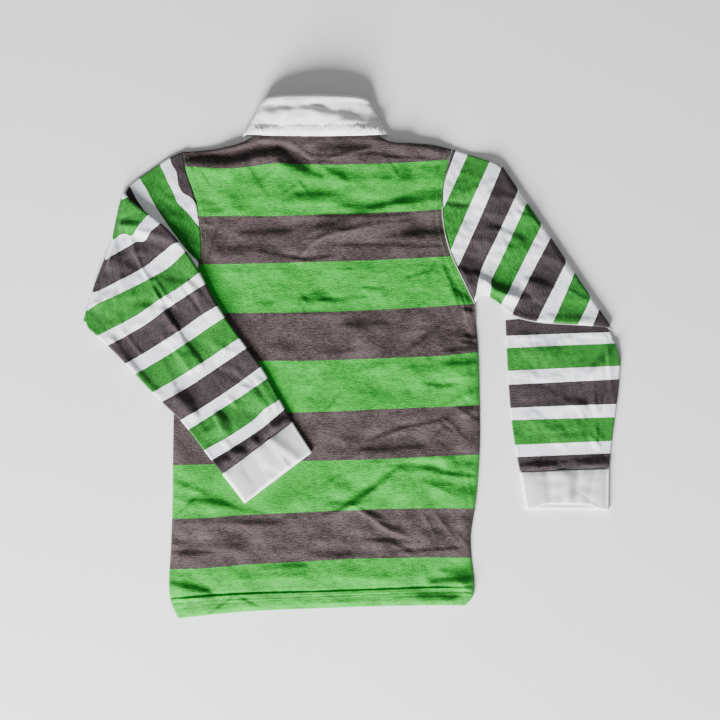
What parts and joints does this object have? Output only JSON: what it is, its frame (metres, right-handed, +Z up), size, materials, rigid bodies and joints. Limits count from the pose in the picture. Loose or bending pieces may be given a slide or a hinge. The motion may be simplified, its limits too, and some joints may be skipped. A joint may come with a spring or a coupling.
{
  "type": "long-sleeved polo shirt laid flat",
  "caption": "Child's long-sleeved rugby polo shirt laid flat back up, one sleeve folded over and one folded under, striped jersey with white collar and cuffs",
  "frame": {"origin": "On the surface that the shirt lies on, under the middle of the body, on the front panel's flat outer face", "axes": "+Z up away from the surface, +Y from the hem to the collar, +X to the wearer's right sleeve; the shirt lies face down with its back up"},
  "size_m": [0.5631, 0.5456, 0.0235],
  "materials": {
    "back_jersey": "matte",
    "front_jersey": "matte",
    "placket_jersey": "matte",
    "sleeve_jersey_left": "matte",
    "sleeve_jersey_right": "matte",
    "rib_left": "matte",
    "rib_right": "matte",
    "collar_twill": "matte"
  },
  "bodies": {
    "root": {"back_panel": "back_jersey", "front_panel": "front_jersey", "placket": "placket_jersey", "sleeve_left": "sleeve_jersey_left", "sleeve_right": "sleeve_jersey_right", "cuff_left": "rib_left", "cuff_right": "rib_right", "collar": "collar_twill"}
  },
  "joints": []
}
